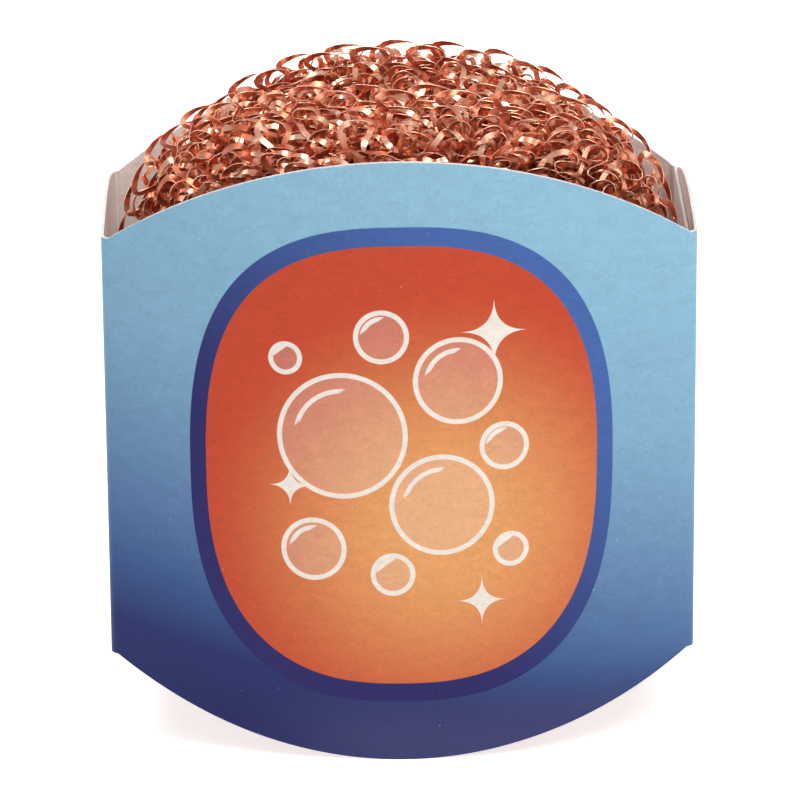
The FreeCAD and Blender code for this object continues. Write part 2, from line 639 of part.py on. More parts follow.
def export(node, folder):
    """Writes a node as a file of its own, and prints its size."""
    shape = node.Shape
    shape.exportStep(os.path.join(folder, f"{node.Name}.step"))
    box = shape.optimalBoundingBox()
    print(node.Name, "solids", len(shape.Solids), "volume", round(shape.Volume, 1))
    print("   spans", [round(v, 2) for v in (box.XMin, box.XMax, box.YMin, box.YMax, box.ZMin, box.ZMax)])


HALF_TURN = FreeCAD.Rotation(UP, math.degrees(math.pi))
front, rear = RollForm("front", FreeCAD.Rotation()), RollForm("rear", HALF_TURN)
nodes = [card_sleeve(), flap_glue()]
for form in (front, rear):
    nodes += [scrubber_roll(form), scrubber_knit(form)]
doc.recompute()
for item in doc.Objects:
    check_made(item)
for node in nodes:
    check_solid(node)
os.makedirs("parts", exist_ok=True)
for node in nodes:
    export(node, "parts")
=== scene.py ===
# %% [markdown]
# Two copper pot scrubbers in a card sleeve.
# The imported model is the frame: it gives each piece its place and size, in metres, and its moving bodies.
# This lesson dresses it. The card gets its folds, print and cut edges, and each scrubber gets its knit.

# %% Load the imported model
import bisect
import math

import bmesh
import bpy
from mathutils import Matrix, Vector, noise


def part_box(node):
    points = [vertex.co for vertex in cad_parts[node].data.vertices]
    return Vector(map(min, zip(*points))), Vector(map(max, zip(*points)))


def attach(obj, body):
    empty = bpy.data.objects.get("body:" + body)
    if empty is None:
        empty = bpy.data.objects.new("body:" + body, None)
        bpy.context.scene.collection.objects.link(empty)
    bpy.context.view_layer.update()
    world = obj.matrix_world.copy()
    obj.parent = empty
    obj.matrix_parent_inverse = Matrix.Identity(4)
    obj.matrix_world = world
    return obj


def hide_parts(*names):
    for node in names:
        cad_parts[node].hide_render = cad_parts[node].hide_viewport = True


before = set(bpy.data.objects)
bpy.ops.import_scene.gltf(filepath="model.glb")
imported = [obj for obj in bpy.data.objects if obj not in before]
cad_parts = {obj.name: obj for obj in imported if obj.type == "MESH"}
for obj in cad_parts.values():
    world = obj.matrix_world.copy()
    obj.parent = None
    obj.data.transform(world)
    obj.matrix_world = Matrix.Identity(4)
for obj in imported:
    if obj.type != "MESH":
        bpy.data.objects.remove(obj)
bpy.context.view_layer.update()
MM = 0.001
UP = Vector((0, 0, 1))
print("nodes", sorted(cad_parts))

# %% [markdown]
# The photograph was taken from a little above the pack with a long lens, nearly square to its front.
# A long lens far away keeps the sides of the sleeve almost parallel, so the camera copies that.

# %% Camera
CAMERA_YAW = math.radians(-0.71)
CAMERA_ELEVATION = math.radians(17.35)
CAMERA_ROLL = math.radians(-0.47)
CAMERA_DISTANCE = 778.3 * MM
CAMERA_TARGET = Vector((0.14, 0, 48.19)) * MM
CAMERA_LENS = 224.15


def aim_camera():
    """A camera that looks at the target from a yaw, an elevation and a distance, then rolls."""
    level = math.cos(CAMERA_ELEVATION)
    back = Vector((math.sin(CAMERA_YAW) * level, -math.cos(CAMERA_YAW) * level, math.sin(CAMERA_ELEVATION)))
    right = Vector((math.cos(CAMERA_YAW), math.sin(CAMERA_YAW), 0))
    turn = Matrix((right, back.cross(right), back)).transposed()
    camera = bpy.data.objects.new("camera", bpy.data.cameras.new("camera"))
    camera.data.lens = CAMERA_LENS
    camera.matrix_world = (turn @ Matrix.Rotation(CAMERA_ROLL, 3, "Z")).to_4x4()
    camera.location = CAMERA_TARGET + back * CAMERA_DISTANCE
    bpy.context.scene.collection.objects.link(camera)
    bpy.context.scene.camera = camera
    return camera


print("camera stands at", aim_camera().location)

# %% [markdown]
# A material here is a small tree of nodes. These helpers place one node, give it plain values or links,
# and hand back a socket, so that a finish below reads like a short recipe.
# Colours are written as they look on a screen, and turned into the linear values that the renderer uses.

# %% Helpers for materials


def screen_colour(red, green, blue):
    """A colour as it looks on a screen, from 0 to 255, in linear values."""
    shares = [value / 255 for value in (red, green, blue)]
    linear = [s / 12.92 if s <= 0.04045 else ((s + 0.055) / 1.055) ** 2.4 for s in shares]
    return (*linear, 1)


def add_node(tree, kind, inputs=None, **settings):
    """One node, with its settings, and its inputs as plain values or as sockets to link."""
    made = tree.nodes.new(kind)
    for name, value in settings.items():
        setattr(made, name, value)
    for name, value in (inputs or {}).items():
        if isinstance(value, bpy.types.NodeSocket):
            tree.links.new(value, made.inputs[name])
        else:
            made.inputs[name].default_value = value
    return made


def calc(tree, operation, first, second=0.0):
    return add_node(tree, "ShaderNodeMath", {0: first, 1: second}, operation=operation).outputs[0]


def blend_colour(tree, factor, first, second, how="MIX"):
    inputs = {0: factor, 6: first, 7: second}
    return add_node(tree, "ShaderNodeMix", inputs, data_type="RGBA", blend_type=how).outputs[2]


def soft_step(tree, value, start, end):
    """0 before the start and 1 after the end, with a smooth passage between them."""
    inputs = {"Value": value, "From Min": start, "From Max": end}
    return add_node(tree, "ShaderNodeMapRange", inputs, interpolation_type="SMOOTHSTEP").outputs[0]


def speckle(tree, place, scale, detail=2.0):
    """Noise over a place, from 0 to 1."""
    inputs = {"Vector": place, "Scale": scale, "Detail": detail}
    return add_node(tree, "ShaderNodeTexNoise", inputs).outputs["Fac"]


def new_group(name, inputs, outputs):
    """An empty node group with its named inputs and outputs, and its two end nodes."""
    group = bpy.data.node_groups.new(name, "ShaderNodeTree")
    for label, kind in inputs.items():
        group.interface.new_socket(label, in_out="INPUT", socket_type=kind)
    for label, kind in outputs.items():
        group.interface.new_socket(label, in_out="OUTPUT", socket_type=kind)
    return group, group.nodes.new("NodeGroupInput"), group.nodes.new("NodeGroupOutput")


def fill_group(tree, group, inputs):
    made = tree.nodes.new("ShaderNodeGroup")
    made.node_tree = group
    for name, value in inputs.items():
        if isinstance(value, bpy.types.NodeSocket):
            tree.links.new(value, made.inputs[name])
        else:
            made.inputs[name].default_value = value
    return made


def new_material(name, **values):
    """A material with a Principled shader, whose plain values are set on its own sockets."""
    material = bpy.data.materials.new(name)
    material.use_nodes = True
    shader = material.node_tree.nodes["Principled BSDF"]
    for label, value in values.items():
        shader.inputs[label.replace("_", " ").title().replace("Ior", "IOR")].default_value = value
    return material, material.node_tree, shader


def bumped(tree, shader, height, distance, strength=1.0):
    """Lets a height raise the surface by up to a distance."""
    inputs = {"Height": height, "Distance": distance, "Strength": strength}
    bump = add_node(tree, "ShaderNodeBump", inputs)
    tree.links.new(bump.outputs["Normal"], shader.inputs["Normal"])


# %% [markdown]
# The sleeve is one card blank, wrapped round four creased corners. From above its outer face is a chain
# of straight lines and arcs, so one vertex is extruded along the lines and spun round the arcs.
# The sizes that the frame's boxes don't give are the same ones that the solid model was drawn with.

# %% Sleeve sizes
PANEL_BULGE = 11 * MM
PANEL_ARCH = 14 * MM
SIDE_ARCH = 2.5 * MM
FOLD_INSIDE = 1.5 * MM
FLAP_MARGIN = 5.5 * MM
FLAP_TAPER = 3 * MM

sleeve_low, sleeve_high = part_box("card_sleeve")
glue_low, glue_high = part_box("flap_glue")
half_width = sleeve_high.x
card = sleeve_high.x - glue_high.x
flap_x = glue_low.x
low_corner = sleeve_low.z + PANEL_ARCH
high_corner = sleeve_high.z - PANEL_ARCH
fold = FOLD_INSIDE + card
panel_radius = (half_width**2 + PANEL_BULGE**2) / (2 * PANEL_BULGE)
panel_centre = panel_radius - sleeve_high.y


def fold_place(side_x):
    """Where the centre of a fold lies whose outer face runs into a side at that x."""
    x = side_x - fold
    return Vector((x, math.sqrt((panel_radius - fold) ** 2 - x**2) - panel_centre, 0))


corner_fold = fold_place(half_width)
flap_fold = fold_place(flap_x)
corner_slope = math.atan2(corner_fold.y + panel_centre, corner_fold.x)
flap_slope = math.atan2(flap_fold.y + panel_centre, flap_fold.x)
panel_end_x = corner_fold.x * panel_radius / (panel_radius - fold)
flap_width = flap_fold.y + corner_fold.y - FLAP_MARGIN
print("panel radius", panel_radius, "flap width", flap_width)

# %% Draw the blank from above
SIDE_STEPS, FOLD_STEPS, PANEL_STEPS = 14, 6, 56


def line_to(bm, vert, end, steps):
    """Extrudes a vertex to a place in even steps."""
    stride = (Vector(end) - vert.co) / steps
    for _ in range(steps):
        following = bmesh.ops.extrude_vert_indiv(bm, verts=[vert])["verts"][0]
        following.co = vert.co + stride
        vert = following
    return vert


def arc_round(bm, vert, centre, angle, steps):
    """Spins a vertex round an upright axis, clockwise from above."""
    spun = bmesh.ops.spin(bm, geom=[vert], cent=centre, axis=UP, angle=-angle, steps=steps)
    return next(item for item in spun["geom_last"] if isinstance(item, bmesh.types.BMVert))


def draw_blank(bm):
    """The outer face from above: right side, front, left side, back and the flap inside the right side."""
    x, y = corner_fold.x, corner_fold.y
    bow = math.pi - 2 * corner_slope
    vert = bm.verts.new((half_width, y, 0))
    vert = line_to(bm, vert, (half_width, -y, 0), SIDE_STEPS)
    vert = arc_round(bm, vert, (x, -y, 0), corner_slope, FOLD_STEPS)
    vert = arc_round(bm, vert, (0, panel_centre, 0), bow, PANEL_STEPS)
    vert = arc_round(bm, vert, (-x, -y, 0), corner_slope, FOLD_STEPS)
    vert = line_to(bm, vert, (-half_width, y, 0), SIDE_STEPS)
    vert = arc_round(bm, vert, (-x, y, 0), corner_slope, FOLD_STEPS)
    vert = arc_round(bm, vert, (0, -panel_centre, 0), math.pi - corner_slope - flap_slope, PANEL_STEPS)
    vert = arc_round(bm, vert, flap_fold, flap_slope, FOLD_STEPS)
    line_to(bm, vert, (flap_x, flap_fold.y - flap_width, 0), SIDE_STEPS)


# %% [markdown]
# The chain is extruded upwards in rows. Each vertex is then moved between the two cut edges of its panel:
# the front and back end in high arcs, the sides in low ones, and the flap tapers towards its free edge.
# Card is never quite true, so each panel also sinks here and there by a fraction of a millimetre.

# %% Raise the sleeve
ROWS = 30
DENT = 0.35 * MM
DENT_SIZE = 26 * MM
SIDE_PRINT_PLACE = 300 * MM


def arc_rise(place, half_span, rise):
    """How high an arc stands over its chord, at a place along the chord."""
    radius = (half_span**2 + rise**2) / (2 * rise)
    return math.sqrt(radius**2 - min(abs(place), half_span) ** 2) - radius + rise


def is_flap(place):
    return 0 < place.x < half_width - card / 2 and abs(place.y) <= flap_fold.y + card / 4


def is_side(place):
    return abs(place.x) > half_width - card / 2 and abs(place.y) <= corner_fold.y + card / 4


def edge_heights(place):
    """The heights of the lower and the upper cut edge of the card, over a place on the blank."""
    if is_flap(place):
        rise = -FLAP_TAPER * (flap_fold.y - place.y) / flap_width
    elif is_side(place):
        rise = arc_rise(place.y, corner_fold.y, SIDE_ARCH)
    else:
        rise = arc_rise(place.x, panel_end_x, PANEL_ARCH)
    return low_corner - rise, high_corner + rise


def raise_sleeve(bm):
    edges = bm.edges[:]
    for _ in range(ROWS):
        raised = bmesh.ops.extrude_edge_only(bm, edges=edges)["geom"]
        verts = [item for item in raised if isinstance(item, bmesh.types.BMVert)]
        edges = [item for item in raised if isinstance(item, bmesh.types.BMEdge)]
        bmesh.ops.translate(bm, verts=verts, vec=UP / ROWS)
    below_top = bm.verts.layers.float.new("below_top")
    for vert in bm.verts:
        low, high = edge_heights(vert.co)
        vert.co.z = low + (high - low) * vert.co.z
        vert[below_top] = high - vert.co.z


def dent_sleeve(bm):
    """Sinks the card a little where slow noise is high, and never swells it."""
    bm.normal_update()
    shifts = []
    for vert in bm.verts:
        sink = max(0, noise.noise(vert.co / DENT_SIZE))
        shifts.append(vert.normal * -DENT * sink)
    for vert, shift in zip(bm.verts, shifts):
        if not is_flap(vert.co):
            vert.co += shift


def unroll_sleeve(bm):
    """A map in metres: along a panel from its middle, and up.

    The sides lie apart from the design, and run from the reach of one corner to that of the next.
    """
    layer = bm.loops.layers.uv.new("print")
    corner_reach = panel_radius * math.asin(half_width / panel_radius)
    for face in bm.faces:
        middle = face.calc_center_median()
        beside = is_flap(middle) or is_side(middle)
        facing = -1 if middle.y > 0 else 1
        for corner in face.loops:
            place = corner.vert.co
            across = facing * panel_radius * math.asin(place.x / panel_radius)
            if beside:
                share = math.copysign(place.y / corner_fold.y, -middle.x * place.y)
                across = SIDE_PRINT_PLACE + corner_reach * share
            corner[layer].uv = (across, place.z)


def finish_sheet(bm, name, materials):
    """A mesh object of an open sheet: smooth over its faces and sharp along its cut edges."""
    for face in bm.faces:
        face.smooth = True
    for edge in bm.edges:
        edge.smooth = not edge.is_boundary
    mesh = bpy.data.meshes.new(name)
    bm.to_mesh(mesh)
    bm.free()
    for material in materials:
        mesh.materials.append(material)
    made = bpy.data.objects.new(name, mesh)
    bpy.context.scene.collection.objects.link(made)
    return made


def thicken(piece, thickness, offset):
    """Gives a sheet its thickness; the far face and the cut edges take the next materials, if any."""
    solid = piece.modifiers.new("thickness", "SOLIDIFY")
    solid.thickness = thickness
    solid.offset = offset
    last = len(piece.data.materials) - 1
    solid.material_offset = min(1, last)
    solid.material_offset_rim = min(2, last)


# %% [markdown]
# Uncoated card shows short pale and dark fibres and a fine tooth. All three card finishes share them,
# so they are one node group: it puts out a fibre value for the colour and a height for the bump.

# %% Card fibre group


def make_fibre_group():
    group, start, end = new_group(
        "card_fibre",
        {"Place": "NodeSocketVector", "Length": "NodeSocketFloat"},
        {"Fibre": "NodeSocketFloat", "Tooth": "NodeSocketFloat"},
    )
    place, length = start.outputs["Place"], start.outputs["Length"]
    warp = add_node(group, "ShaderNodeTexNoise", {"Vector": place, "Scale": 900.0}).outputs["Color"]
    bent = add_node(group, "ShaderNodeMix", {0: 0.004, 4: place, 5: warp}, data_type="VECTOR").outputs[1]
    turned = add_node(group, "ShaderNodeMapping", {"Vector": bent, "Scale": (0.25, 0.25, 1.0)}).outputs[0]
    long_fibre = add_node(group, "ShaderNodeTexNoise", {"Vector": turned, "Scale": length}).outputs["Fac"]
    grain = speckle(group, place, 4200.0, 3.0)
    fibre = calc(group, "ADD", calc(group, "MULTIPLY", long_fibre, 0.6), calc(group, "MULTIPLY", grain, 0.4))
    group.links.new(fibre, end.inputs["Fibre"])
    group.links.new(grain, end.inputs["Tooth"])
    return group


fibre_group = make_fibre_group()

# %% [markdown]
# The print is a generic design in the pack's colours: a sky that darkens to navy, a large orange oval with
# a navy rim, and soap bubbles and sparkles in cream. It is drawn by distances on the sleeve's own map,
# in millimetres from the middle of the panel, so it stays sharp at any size.

# %% Print motifs
EDGE_SOFTNESS = 0.14
SKY_STOPS = (
    (0.0, screen_colour(30, 36, 96)),
    (0.1, screen_colour(34, 46, 104)),
    (0.2, screen_colour(60, 90, 144)),
    (0.35, screen_colour(98, 132, 176)),
    (0.62, screen_colour(134, 178, 208)),
    (0.95, screen_colour(148, 196, 220)),
)
# How much the print darkens towards the left: painted shade of light from the right
LEFTWARD_SHADE = 0.24
DUSK = screen_colour(62, 66, 116)
NAVY = screen_colour(38, 34, 98)
RIM_BLUE = screen_colour(70, 104, 172)
DEEP_ORANGE = screen_colour(204, 74, 44)
PALE_ORANGE = screen_colour(240, 168, 104)
CREAM = screen_colour(250, 238, 226)
OVAL_MIDDLE = (0.0, 47.0)
OVAL_HALF = (30.0, 34.5)
OVAL_POWER = 2.6
OVAL_RIM = 0.085
# Each bubble is a place in millimetres and a radius
BUBBLES = (
    (-9.0, 52.0, 9.5),
    (8.5, 60.5, 6.4),
    (6.0, 41.0, 7.6),
    (-13.5, 34.0, 4.6),
    (15.5, 50.0, 3.4),
    (-3.0, 67.5, 3.8),
    (-1.5, 30.0, 3.0),
    (16.5, 33.5, 2.4),
    (-17.5, 64.0, 2.2),
)
SPARKLES = ((14.0, 68.0, 5.5), (-17.0, 44.0, 3.6), (12.0, 25.5, 4.2))


def make_bubble_group():
    """A thin ring with a faint fill, and a small curved shine at its upper left."""
    group, start, end = new_group(
        "bubble",
        {"Point": "NodeSocketVector", "Middle": "NodeSocketVector", "Radius": "NodeSocketFloat"},
        {"Mask": "NodeSocketFloat"},
    )
    radius = start.outputs["Radius"]
    away = add_node(
        group, "ShaderNodeVectorMath", {0: start.outputs["Point"], 1: start.outputs["Middle"]}, operation="SUBTRACT"
    ).outputs[0]
    reach = add_node(group, "ShaderNodeVectorMath", {0: away}, operation="LENGTH").outputs["Value"]
    line = calc(group, "ABSOLUTE", calc(group, "SUBTRACT", reach, radius))
    ring = calc(group, "SUBTRACT", 1.0, soft_step(group, line, 0.32, 0.32 + EDGE_SOFTNESS))
    inner = calc(group, "ABSOLUTE", calc(group, "SUBTRACT", reach, calc(group, "MULTIPLY", radius, 0.74)))
    arc = calc(group, "SUBTRACT", 1.0, soft_step(group, inner, 0.3, 0.3 + EDGE_SOFTNESS))
    lean = add_node(
        group, "ShaderNodeVectorMath", {0: away, 1: (-0.6, 0.8, 0.0)}, operation="DOT_PRODUCT"
    ).outputs["Value"]
    facing = calc(group, "DIVIDE", lean, radius)
    shine = calc(group, "MULTIPLY", arc, soft_step(group, facing, 0.55, 0.62))
    body = calc(group, "MULTIPLY", calc(group, "LESS_THAN", reach, radius), 0.16)
    mask = calc(group, "MAXIMUM", calc(group, "MAXIMUM", ring, shine), body)
    group.links.new(mask, end.inputs["Mask"])
    return group


def make_sparkle_group():
    """A star of four points, with hollow sides."""
    group, start, end = new_group(
        "sparkle",
        {"Point": "NodeSocketVector", "Middle": "NodeSocketVector", "Reach": "NodeSocketFloat"},
        {"Mask": "NodeSocketFloat"},
    )
    away = add_node(
        group, "ShaderNodeVectorMath", {0: start.outputs["Point"], 1: start.outputs["Middle"]}, operation="SUBTRACT"
    ).outputs[0]
    parts = add_node(group, "ShaderNodeSeparateXYZ", {0: away}).outputs
    roots = [calc(group, "SQRT", calc(group, "ABSOLUTE", parts[axis])) for axis in (0, 1)]
    spread = calc(group, "DIVIDE", calc(group, "ADD", *roots), calc(group, "SQRT", start.outputs["Reach"]))
    mask = calc(group, "SUBTRACT", 1.0, soft_step(group, spread, 0.96, 1.0))
    group.links.new(mask, end.inputs["Mask"])
    return group


bubble_group = make_bubble_group()
sparkle_group = make_sparkle_group()

# %% Printed card
BARE_STOCK = screen_colour(236, 234, 240)
FRAY_RAGGED = 0.3 * MM
FRAY_START, FRAY_END = 0.2 * MM, 0.34 * MM


def printed_point(tree):
    """The place on the sleeve's map in millimetres."""
    uv = add_node(tree, "ShaderNodeUVMap", uv_map="print").outputs[0]
    return add_node(tree, "ShaderNodeVectorMath", {0: uv, "Scale": 1 / MM}, operation="SCALE").outputs[0]


def sky_print(tree, across, height):
    """The ground of the print: it darkens downwards, to a haze at the foot, and a little towards the left, which is
    painted shade of light from the right.
    """
    beside = calc(tree, "GREATER_THAN", across, SIDE_PRINT_PLACE / MM / 2)
    across = calc(tree, "SUBTRACT", across, calc(tree, "MULTIPLY", beside, SIDE_PRINT_PLACE / MM))
    # Painted shade: the sky darkens towards the left, as if the light came from the right
    shaded_height = calc(tree, "ADD", height, calc(tree, "MULTIPLY", across, LEFTWARD_SHADE))
    share = calc(tree, "DIVIDE", shaded_height, sleeve_high.z / MM)
    ramp = add_node(tree, "ShaderNodeValToRGB", {0: share})
    stops = ramp.color_ramp.elements
    while len(stops) < len(SKY_STOPS):
        stops.new(0.5)
    for stop, (place, colour) in zip(stops, SKY_STOPS):
        stop.position = place
        stop.color = colour
    low = calc(tree, "SUBTRACT", 1.0, soft_step(tree, height, 2.0, 16.0))
    haze = calc(tree, "MULTIPLY", low, soft_step(tree, across, -28.0, 0.0))
    return blend_colour(tree, haze, ramp.outputs[0], DUSK)


def oval_distance(tree, across, height):
    """1 on the oval's edge, less inside and more outside."""
    parts = []
    for value, middle, half in zip((across, height), OVAL_MIDDLE, OVAL_HALF):
        share = calc(tree, "DIVIDE", calc(tree, "SUBTRACT", value, middle), half)
        parts.append(calc(tree, "POWER", calc(tree, "ABSOLUTE", share), OVAL_POWER))
    return calc(tree, "POWER", calc(tree, "ADD", *parts), 1 / OVAL_POWER)


def inside_of(tree, distance, limit):
    softness = EDGE_SOFTNESS / OVAL_HALF[0]
    return calc(tree, "SUBTRACT", 1.0, soft_step(tree, distance, limit, limit + softness))


def printed_colour(tree):
    point = printed_point(tree)
    parts = add_node(tree, "ShaderNodeSeparateXYZ", {0: point}).outputs
    across, height = parts[0], parts[1]
    colour = sky_print(tree, across, height)
    distance = oval_distance(tree, across, height)
    lit_rim = soft_step(tree, calc(tree, "ADD", height, across), 20.0, 95.0)
    rim = blend_colour(tree, lit_rim, NAVY, RIM_BLUE)
    colour = blend_colour(tree, inside_of(tree, distance, 1 + OVAL_RIM), colour, rim)
    glow_place = add_node(
        tree, "ShaderNodeVectorMath", {0: point, 1: (6.0, 38.0, 0.0)}, operation="DISTANCE"
    ).outputs["Value"]
    orange = blend_colour(tree, soft_step(tree, glow_place, 4.0, 38.0), PALE_ORANGE, DEEP_ORANGE)
    motifs = None
    for group, label, places in ((bubble_group, "Radius", BUBBLES), (sparkle_group, "Reach", SPARKLES)):
        for x, y, reach in places:
            mask = fill_group(tree, group, {"Point": point, "Middle": (x, y, 0.0), label: reach}).outputs[0]
            motifs = calc(tree, "MAXIMUM", motifs, mask) if motifs else mask
    orange = blend_colour(tree, motifs, orange, CREAM)
    return blend_colour(tree, inside_of(tree, distance, 1.0), colour, orange), across


def frayed_edge(tree, place):
    """Along the upper cut edge the knife dragged the ink off, in a line of uneven width."""
    distance = add_node(tree, "ShaderNodeAttribute", attribute_name="below_top").outputs["Fac"]
    ragged = calc(tree, "MULTIPLY", speckle(tree, place, 1100.0, 3.0), FRAY_RAGGED)
    reach = calc(tree, "ADD", distance, ragged)
    return calc(tree, "SUBTRACT", 1.0, soft_step(tree, reach, FRAY_START, FRAY_END))


def printed_card():
    material, tree, shader = new_material("printed_card", specular_ior_level=0.22)
    place = add_node(tree, "ShaderNodeTexCoord").outputs["Object"]
    fibre = fill_group(tree, fibre_group, {"Place": place, "Length": 1400.0}).outputs
    colour, across = printed_colour(tree)
    shade = calc(tree, "ADD", 0.7, calc(tree, "MULTIPLY", fibre["Fibre"], 0.56))
    grey = add_node(tree, "ShaderNodeCombineColor", {0: shade, 1: shade, 2: shade}).outputs[0]
    colour = blend_colour(tree, 1.0, colour, grey, "MULTIPLY")
    # Ink cracks along the creases, where the map's distance from the middle of a panel is largest
    from_middle = calc(tree, "ABSOLUTE", across)
    crease = soft_step(tree, from_middle, 46.4, 47.2)
    worn = calc(tree, "MULTIPLY", crease, soft_step(tree, speckle(tree, place, 900.0, 4.0), 0.45, 0.7))
    worn = calc(tree, "MULTIPLY", worn, calc(tree, "LESS_THAN", from_middle, 60.0))
    specks = soft_step(tree, speckle(tree, place, 1600.0, 1.0), 0.80, 0.84)
    bare = calc(tree, "MAXIMUM", calc(tree, "MULTIPLY", worn, 0.35), calc(tree, "MULTIPLY", specks, 0.35))
    bare = calc(tree, "MAXIMUM", bare, frayed_edge(tree, place))
    colour = blend_colour(tree, bare, colour, BARE_STOCK)
    tree.links.new(colour, shader.inputs["Base Color"])
    rough = calc(tree, "ADD", 0.42, calc(tree, "MULTIPLY", fibre["Fibre"], 0.16))
    tree.links.new(rough, shader.inputs["Roughness"])
    bumped(tree, shader, fibre["Tooth"], 0.02 * MM, 0.5)
    return material


# %% Inside and cut edges of the card


SCORE_PLACE, SCORE_HALF = 46.15, 0.52
SCORE_HIGHLIGHT = screen_colour(232, 222, 214)


def score_highlights(tree):
    """Two pale lines inside each corner, either side of the crease that the creasing rule pressed: painted
    highlights of light on the crease's ridges, which are not modelled.
    """
    across = add_node(tree, "ShaderNodeSeparateXYZ", {0: printed_point(tree)}).outputs[0]
    from_crease = calc(tree, "ABSOLUTE", calc(tree, "SUBTRACT", calc(tree, "ABSOLUTE", across), SCORE_PLACE))
    from_line = calc(tree, "ABSOLUTE", calc(tree, "SUBTRACT", from_crease, SCORE_HALF))
    return calc(tree, "SUBTRACT", 1.0, soft_step(tree, from_line, 0.08, 0.3))


def plain_card(name, pale, dark, tooth, with_score_highlights=False):
    """Bare card: warm grey inside, and paler where it is cut."""
    material, tree, shader = new_material(name, specular_ior_level=0.2, roughness=0.85)
    place = add_node(tree, "ShaderNodeTexCoord").outputs["Object"]
    fibre = fill_group(tree, fibre_group, {"Place": place, "Length": 1900.0}).outputs
    mottle = speckle(tree, place, 160.0, 3.0)
    tone = calc(tree, "ADD", calc(tree, "MULTIPLY", fibre["Fibre"], 0.8), calc(tree, "MULTIPLY", mottle, 0.35))
    colour = blend_colour(tree, soft_step(tree, tone, 0.4, 0.76), dark, pale)
    # Painted highlights along the creases inside the corners
    if with_score_highlights:
        colour = blend_colour(tree, score_highlights(tree), colour, SCORE_HIGHLIGHT)
    tree.links.new(colour, shader.inputs["Base Color"])
    bumped(tree, shader, fibre["Tooth"], tooth)
    return material


card_finishes = [
    printed_card(),
    plain_card("bare_card", screen_colour(253, 247, 243), screen_colour(226, 216, 209), 0.05 * MM, with_score_highlights=True),
    plain_card("cut_card", screen_colour(236, 231, 229), screen_colour(208, 201, 198), 0.08 * MM),
]

# %% Make the sleeve


def make_sleeve():
    bm = bmesh.new()
    draw_blank(bm)
    raise_sleeve(bm)
    unroll_sleeve(bm)
    front = min(bm.faces, key=lambda face: face.calc_center_median().y)
    front.normal_update()
    if front.normal.y > 0:
        bmesh.ops.reverse_faces(bm, faces=bm.faces[:])
    dent_sleeve(bm)
    sleeve = finish_sheet(bm, "sleeve_card", card_finishes)
    thicken(sleeve, card, -1)
    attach(sleeve, "sleeve")
    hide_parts("card_sleeve")
    return sleeve


sleeve = make_sleeve()
print("sleeve faces", len(sleeve.data.polygons))


def dry_glue():
    material, tree, shader = new_material("dry_glue", roughness=0.45)
    place = add_node(tree, "ShaderNodeTexCoord").outputs["Object"]
    streak = speckle(tree, place, 300.0, 3.0)
    colour = blend_colour(tree, streak, screen_colour(222, 214, 190), screen_colour(240, 236, 222))
    tree.links.new(colour, shader.inputs["Base Color"])
    return material


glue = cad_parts["flap_glue"]
glue.data.materials.clear()
glue.data.materials.append(dry_glue())

# %% [markdown]
# A scrubber is a knitted tube of flat copper ribbon, drawn together at both ends and pressed into the sleeve.
# Its form is a full oval from the front, bowed like the panel before it, with a round rim and a pucker on each
# face where the tube is gathered. A place on it is read by its share of the way round and of the way across.
# The front scrubber is squeezed into squarer shoulders than the rear one, so each has a fullness of its own.

# %% Form of a scrubber
PAD_CLEARANCE = 0.5 * MM
PAD_GAP = 0.4 * MM
RIM_POWER = 2.2
RIM_START_SHARE = 0.76
GATHER_SHARE = 0.1
PUCKER_DEPTH = 6 * MM
PUCKER_SHARE = 0.2
FORM_STEPS = 360

room_radius = panel_radius - card - PAD_CLEARANCE
pad_depth = room_radius - panel_centre - PAD_GAP


class EvenLine:
    """A line through points, read by its share of the whole length."""

    def __init__(self, points):
        self.points = points
        self.reaches = [0]
        for place, following in zip(points, points[1:]):
            self.reaches.append(self.reaches[-1] + (following - place).length)

    def at(self, share):
        reach = share * self.reaches[-1]
        number = min(max(bisect.bisect_right(self.reaches, reach), 1), len(self.points) - 1)
        start, end = self.reaches[number - 1], self.reaches[number]
        return self.points[number - 1].lerp(self.points[number], (reach - start) / (end - start))


def round_pair(angle, power):
    """Cosine and sine, squared off so that a circle becomes a fuller oval."""
    return [math.copysign(abs(part) ** (2 / power), part) for part in (math.cos(angle), math.sin(angle))]


def turn_round(place):
    """Half a turn about the upright axis, from the front scrubber's place to the rear one's."""
    return Vector((-place.x, -place.y, place.z))


def face_place(x):
    """How far forward the room behind the bowed panel reaches."""
    return panel_centre - math.sqrt(room_radius**2 - x**2)


